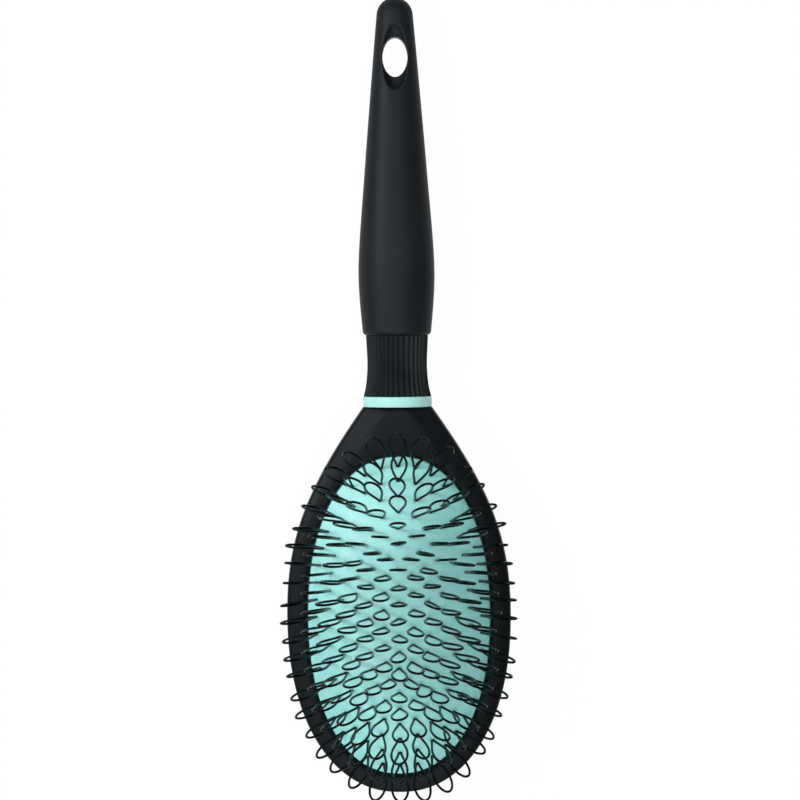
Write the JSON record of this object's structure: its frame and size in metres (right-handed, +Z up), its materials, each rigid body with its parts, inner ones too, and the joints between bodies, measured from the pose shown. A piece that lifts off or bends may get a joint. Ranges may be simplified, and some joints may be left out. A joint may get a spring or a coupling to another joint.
{
  "type": "loop hair brush",
  "caption": "Oval cushion hair brush with nylon loop bristles on a mint air cushion, a black frame, a ribbed neck with a mint collar, and a tapered soft grip with a hanging eye.",
  "frame": {"origin": "on the table plane under the middle of the pad, at the middle of the head's flat back", "axes": "+Z up out of the pad, +Y along the handle to its end, +X across the head"},
  "size_m": [0.074, 0.2514, 0.0424],
  "materials": {
    "satin_black": "satin",
    "core_grey": "matte",
    "mint_rubber": "fine woven matte",
    "black_nylon": "satin",
    "mint_gloss": "satin gloss",
    "ribbed_black": "matte",
    "soft_black": "soft touch",
    "screw_steel": "zinc plated"
  },
  "bodies": {
    "brush_body": {"head_back_shell": "satin_black", "head_front_frame": "satin_black", "cushion_clamp_ring": "core_grey", "air_cushion": "mint_rubber", "handle_core": "core_grey", "accent_ring": "mint_gloss", "neck_sleeve": "ribbed_black", "grip": "soft_black", "clamp_screw_1": "screw_steel", "clamp_screw_2": "screw_steel", "clamp_screw_3": "screw_steel", "clamp_screw_4": "screw_steel", "clamp_screw_5": "screw_steel", "clamp_screw_6": "screw_steel", "core_screw_left": "screw_steel", "core_screw_right": "screw_steel"},
    "pad_centre": {"loops_centre": "black_nylon"},
    "pad_inner": {"loops_inner": "black_nylon"},
    "pad_outer": {"loops_outer": "black_nylon"},
    "pad_rim": {"loops_rim": "black_nylon"}
  },
  "joints": [
    {"name": "cushion_press", "type": "slide", "parent": "brush_body", "child": "pad_centre", "axis": [0, 0, -1], "range_m": [0, 0.004], "stiffness_N_per_m": 800, "deforming": ["air_cushion"]},
    {"name": "cushion_press_inner", "type": "slide", "parent": "brush_body", "child": "pad_inner", "axis": [0, 0, -1], "range_m": [0, 0.0028]},
    {"name": "cushion_press_outer", "type": "slide", "parent": "brush_body", "child": "pad_outer", "axis": [0, 0, -1], "range_m": [0, 0.00152]},
    {"name": "cushion_press_rim", "type": "slide", "parent": "brush_body", "child": "pad_rim", "axis": [0, 0, -1], "range_m": [0, 0.0004]}
  ],
  "couplings": [
    {"joint": "cushion_press_inner", "follows": "cushion_press", "ratio": 0.7},
    {"joint": "cushion_press_outer", "follows": "cushion_press", "ratio": 0.38},
    {"joint": "cushion_press_rim", "follows": "cushion_press", "ratio": 0.1}
  ]
}
